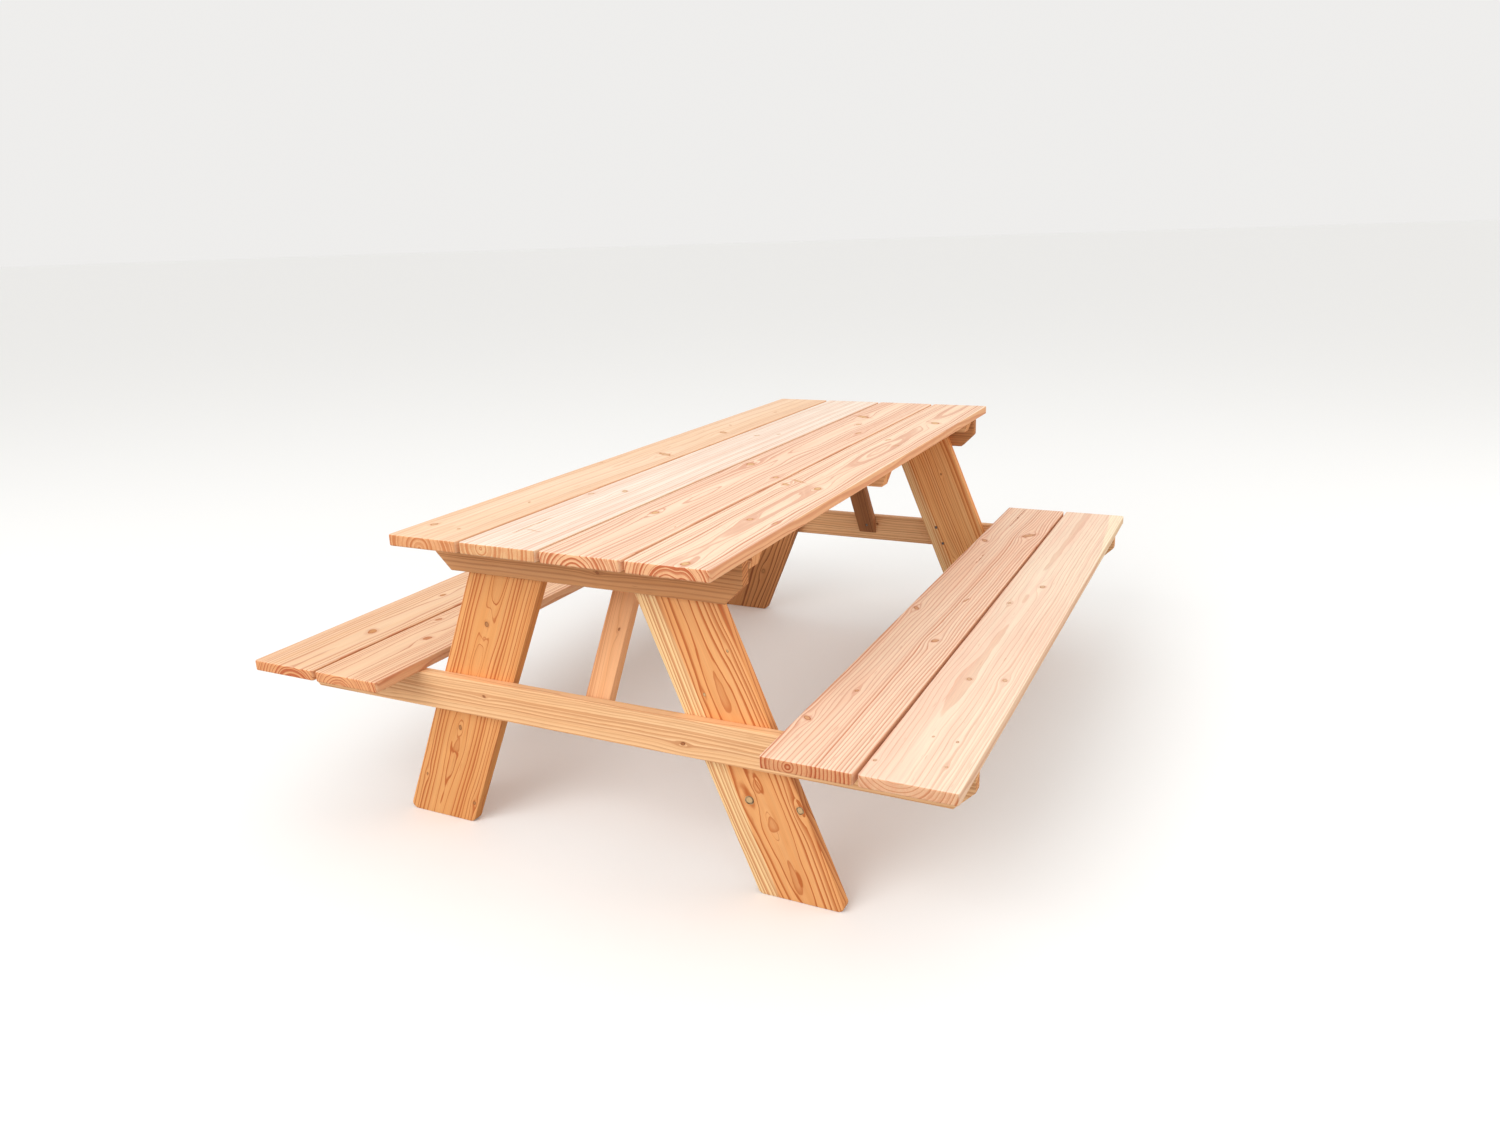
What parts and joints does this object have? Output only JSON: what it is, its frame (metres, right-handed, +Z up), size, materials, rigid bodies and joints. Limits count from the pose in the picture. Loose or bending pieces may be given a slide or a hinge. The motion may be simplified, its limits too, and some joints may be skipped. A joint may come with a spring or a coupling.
{
  "type": "picnic table",
  "caption": "A-frame timber picnic table with a boarded top and two attached boarded benches, screwed together from planed softwood.",
  "frame": {"origin": "on the ground, under the middle of the tabletop", "axes": "+Z up, Y along the table and its benches, X across it from the left bench to the right bench; the front end frame is at -Y"},
  "size_m": [1.782, 2.14, 0.8],
  "materials": {
    "top_boards": "planed, unfinished, pink to cream softwood",
    "bench_boards": "planed, unfinished, pink to cream softwood",
    "legs": "planed, unfinished, orange flat-sawn softwood",
    "rails": "planed, unfinished, tan softwood",
    "braces": "planed, unfinished, tan softwood",
    "screws": "dull zinc-plated steel"
  },
  "bodies": {
    "root": {"top_board_1": "top_boards", "top_board_2": "top_boards", "top_board_3": "top_boards", "top_board_4": "top_boards", "bench_board_left_inner": "bench_boards", "bench_board_left_outer": "bench_boards", "bench_board_right_inner": "bench_boards", "bench_board_right_outer": "bench_boards", "leg_front_left": "legs", "leg_front_right": "legs", "leg_rear_left": "legs", "leg_rear_right": "legs", "seat_beam_front": "rails", "seat_beam_rear": "rails", "top_cleat_front": "rails", "top_cleat_rear": "rails", "batten_front": "rails", "batten_centre": "rails", "batten_rear": "rails", "brace_front": "braces", "brace_rear": "braces", "screw_leg_front_left_low": "screws", "screw_leg_front_left_mid": "screws", "screw_leg_front_left_high": "screws", "screw_leg_front_right_low": "screws", "screw_leg_front_right_mid": "screws", "screw_leg_front_right_high": "screws", "screw_leg_rear_left_low": "screws", "screw_leg_rear_left_mid": "screws", "screw_leg_rear_left_high": "screws", "screw_leg_rear_right_low": "screws", "screw_leg_rear_right_mid": "screws", "screw_leg_rear_right_high": "screws", "screw_brace_front_low": "screws", "screw_brace_front_high": "screws", "screw_brace_rear_low": "screws", "screw_brace_rear_high": "screws", "screw_batten_front_1": "screws", "screw_batten_front_2": "screws", "screw_batten_front_3": "screws", "screw_batten_front_4": "screws", "screw_batten_centre_1": "screws", "screw_batten_centre_2": "screws", "screw_batten_centre_3": "screws", "screw_batten_centre_4": "screws", "screw_batten_rear_1": "screws", "screw_batten_rear_2": "screws", "screw_batten_rear_3": "screws", "screw_batten_rear_4": "screws", "screw_bench_left_front_inner": "screws", "screw_bench_left_front_outer": "screws", "screw_bench_left_rear_inner": "screws", "screw_bench_left_rear_outer": "screws", "screw_bench_right_front_inner": "screws", "screw_bench_right_front_outer": "screws", "screw_bench_right_rear_inner": "screws", "screw_bench_right_rear_outer": "screws"}
  },
  "joints": []
}
